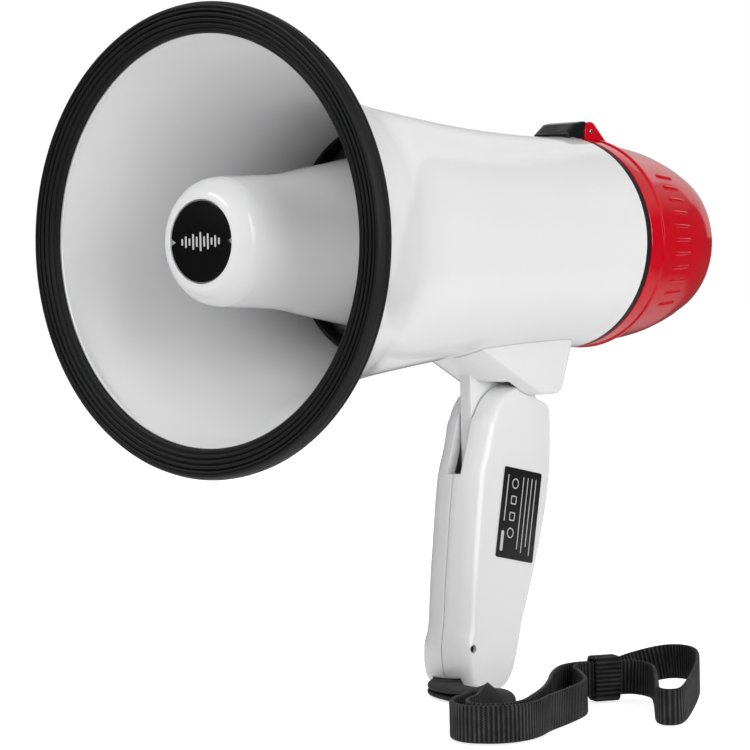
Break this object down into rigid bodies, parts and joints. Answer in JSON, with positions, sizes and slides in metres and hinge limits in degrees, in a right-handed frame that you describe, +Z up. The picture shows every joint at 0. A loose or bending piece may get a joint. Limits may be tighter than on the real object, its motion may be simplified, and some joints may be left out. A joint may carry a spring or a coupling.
{
  "type": "handheld megaphone",
  "caption": "Handheld re-entrant horn megaphone with rubber-rimmed bell, folding pistol grip, latched pull-off rear cap with microphone and controls, and wrist strap.",
  "frame": {"origin": "centre of the bounding box's footprint, on the plane of the handle's foot, without the strap", "axes": "+Z up from the handle's foot towards the horn, -Y the way the horn's mouth faces along the horn's axis, +X the holder's left"},
  "size_m": [0.1937, 0.2564, 0.24],
  "materials": {
    "white_plastic": "gloss white moulded ABS",
    "red_plastic": "gloss red moulded ABS",
    "black_plastic": "satin black moulded plastic",
    "grey_plastic": "satin grey moulded plastic",
    "black_rubber": "matt black rubber",
    "steel": "zinc-plated steel",
    "ferrite": "ferrite magnet with steel plates",
    "board": "glass-fibre circuit board",
    "diaphragm": "phenolic film",
    "cell": "size C cell in a printed jacket, no lettering",
    "brass": "plated contact strip",
    "webbing": "ribbed black nylon webbing",
    "label": "blank black printed label"
  },
  "bodies": {
    "horn": {"horn_body": "white_plastic", "rim_gasket": "black_rubber", "reflector_bullet": "white_plastic", "nose_badge": "black_plastic", "bullet_screw": "steel", "throat_gasket": "black_rubber", "throat_bulkhead": "black_plastic", "throat_tube": "grey_plastic", "driver_frame": "steel", "driver_diaphragm": "diaphragm", "driver_magnet": "ferrite", "driver_screw_1": "steel", "driver_screw_2": "steel", "driver_screw_3": "steel", "driver_screw_4": "steel", "amplifier_board": "board", "heat_sink": "steel", "reservoir_capacitor": "cell", "battery_carrier": "black_plastic", "battery_1": "cell", "battery_2": "cell", "battery_3": "cell", "battery_4": "cell", "contact_strip_1": "brass", "contact_strip_2": "brass", "contact_strip_3": "brass", "contact_strip_4": "brass", "seam_seal": "black_rubber", "bracket": "white_plastic", "bracket_screw_1": "steel", "bracket_screw_2": "steel"},
    "handle": {"handle_left": "white_plastic", "handle_right": "white_plastic", "pivot_pin": "steel", "handle_screw_1": "steel", "handle_screw_2": "steel", "strap_pin": "steel", "rating_label": "label", "strap_webbing": "webbing", "strap_keeper": "webbing"},
    "rear_cap": {"rear_cap": "red_plastic", "mouthpiece_panel": "black_plastic", "mic_grille": "steel", "mic_capsule": "steel", "mic_boot": "black_rubber", "control_board": "board", "latch_pin": "steel"},
    "latch": {"latch_lever": "black_plastic"},
    "volume": {"volume_knob": "black_plastic"},
    "mode": {"mode_switch": "grey_plastic"},
    "talk": {"talk_button": "grey_plastic"}
  },
  "joints": [
    {"name": "handle_fold", "type": "hinge", "parent": "horn", "child": "handle", "pos_m": [0, 0.0272, 0.091], "axis": [-1, 0, 0], "range_deg": [0, 70]},
    {"name": "cap_pull", "type": "slide", "parent": "horn", "child": "rear_cap", "axis": [0, 1, 0], "range_m": [0, 0.06]},
    {"name": "latch_flip", "type": "hinge", "parent": "rear_cap", "child": "latch", "pos_m": [0, 0.0785, 0.2036], "axis": [-1, 0, 0], "range_deg": [0, 85]},
    {"name": "volume_turn", "type": "hinge", "parent": "rear_cap", "child": "volume", "pos_m": [0.0165, 0.1182, 0.162], "axis": [0, 1, 0], "range_deg": [0, 270]},
    {"name": "mode_slide", "type": "slide", "parent": "rear_cap", "child": "mode", "axis": [1, 0, 0], "range_m": [0, 0.006]},
    {"name": "talk_press", "type": "slide", "parent": "rear_cap", "child": "talk", "axis": [0, -1, 0], "range_m": [0, 0.002], "stiffness_N_per_m": 500, "springref_m": -0.0005}
  ]
}
